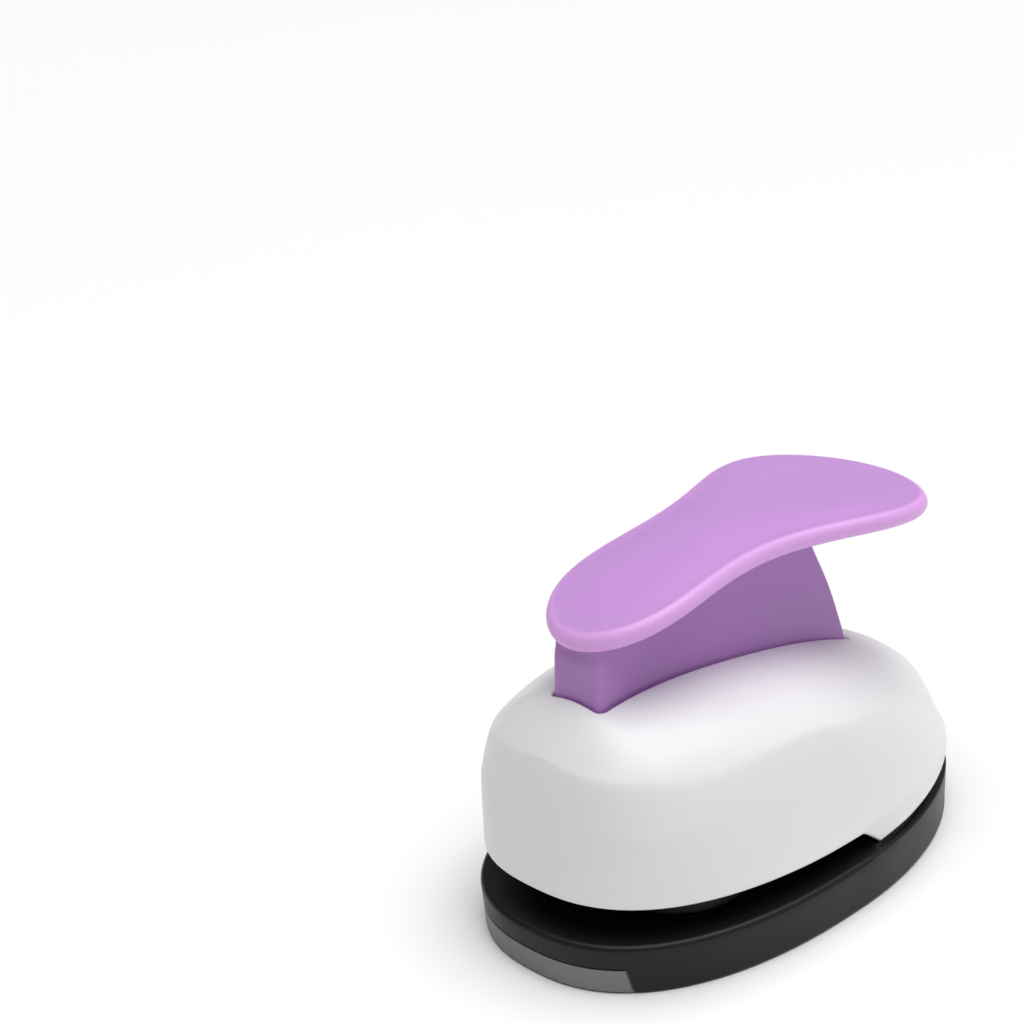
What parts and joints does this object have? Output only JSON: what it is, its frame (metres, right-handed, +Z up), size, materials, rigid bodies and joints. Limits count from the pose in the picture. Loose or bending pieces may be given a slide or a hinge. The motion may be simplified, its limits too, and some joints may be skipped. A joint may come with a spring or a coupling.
{
  "type": "lever craft punch",
  "caption": "Lever-operated craft punch that cuts small scalloped discs from paper, with a thumb lever, a domed cover, a slotted base and a chip drawer.",
  "frame": {"origin": "on the table under the middle of the oval base", "axes": "+Z up; the body is long along Y, the paper slot and the chip drawer face -Y, the wide thumb end of the lever is at +Y"},
  "size_m": [0.0558, 0.09, 0.0571],
  "materials": {
    "white_cover": "satin",
    "black_base": "semi-gloss",
    "purple_lever": "satin",
    "grey_drawer": "matte",
    "hardened_steel": "ground",
    "blackened_steel": "black oxide",
    "bright_steel": "plated",
    "cast_zinc": "as cast"
  },
  "bodies": {
    "base": {"base_shell": "black_base", "die_plate": "blackened_steel", "throat_spacer": "blackened_steel", "guide_plate": "blackened_steel", "upper_frame": "black_base", "top_cover": "white_cover", "pivot_bracket": "bright_steel", "pivot_pin": "bright_steel", "guide_post_left": "bright_steel", "guide_post_right": "bright_steel", "return_spring_left": "bright_steel", "return_spring_right": "bright_steel", "pivot_clip_left": "bright_steel", "pivot_clip_right": "bright_steel", "rivet_front_left": "bright_steel", "rivet_rear_left": "bright_steel", "rivet_front_right": "bright_steel", "rivet_rear_right": "bright_steel", "case_screw_left": "bright_steel", "case_screw_right": "bright_steel", "cover_screw_left": "bright_steel", "cover_screw_right": "bright_steel", "bracket_screw_left": "bright_steel", "bracket_screw_right": "bright_steel"},
    "lever": {"lever": "purple_lever", "press_pin": "bright_steel"},
    "punch": {"cutter": "hardened_steel", "plunger": "cast_zinc", "cutter_screw_front": "bright_steel", "cutter_screw_rear": "bright_steel"},
    "tray": {"chip_tray": "grey_drawer"}
  },
  "joints": [
    {"name": "lever_press", "type": "hinge", "parent": "base", "child": "lever", "pos_m": [0, -0.029, 0.019], "axis": [-1, 0, 0], "range_deg": [0, 14.5], "stiffness_Nm_per_rad": 0.3845, "springref_deg": -8.02},
    {"name": "punch_slide", "type": "slide", "parent": "base", "child": "punch", "axis": [0, 0, -1], "range_m": [0, 0.00456], "deforming": ["return_spring_left", "return_spring_right"]},
    {"name": "tray_slide", "type": "slide", "parent": "base", "child": "tray", "axis": [0, -1, 0], "range_m": [0, 0.0296]}
  ],
  "couplings": [
    {"joint": "punch_slide", "follows": "lever_press", "m_per_rad": 0.0179}
  ]
}
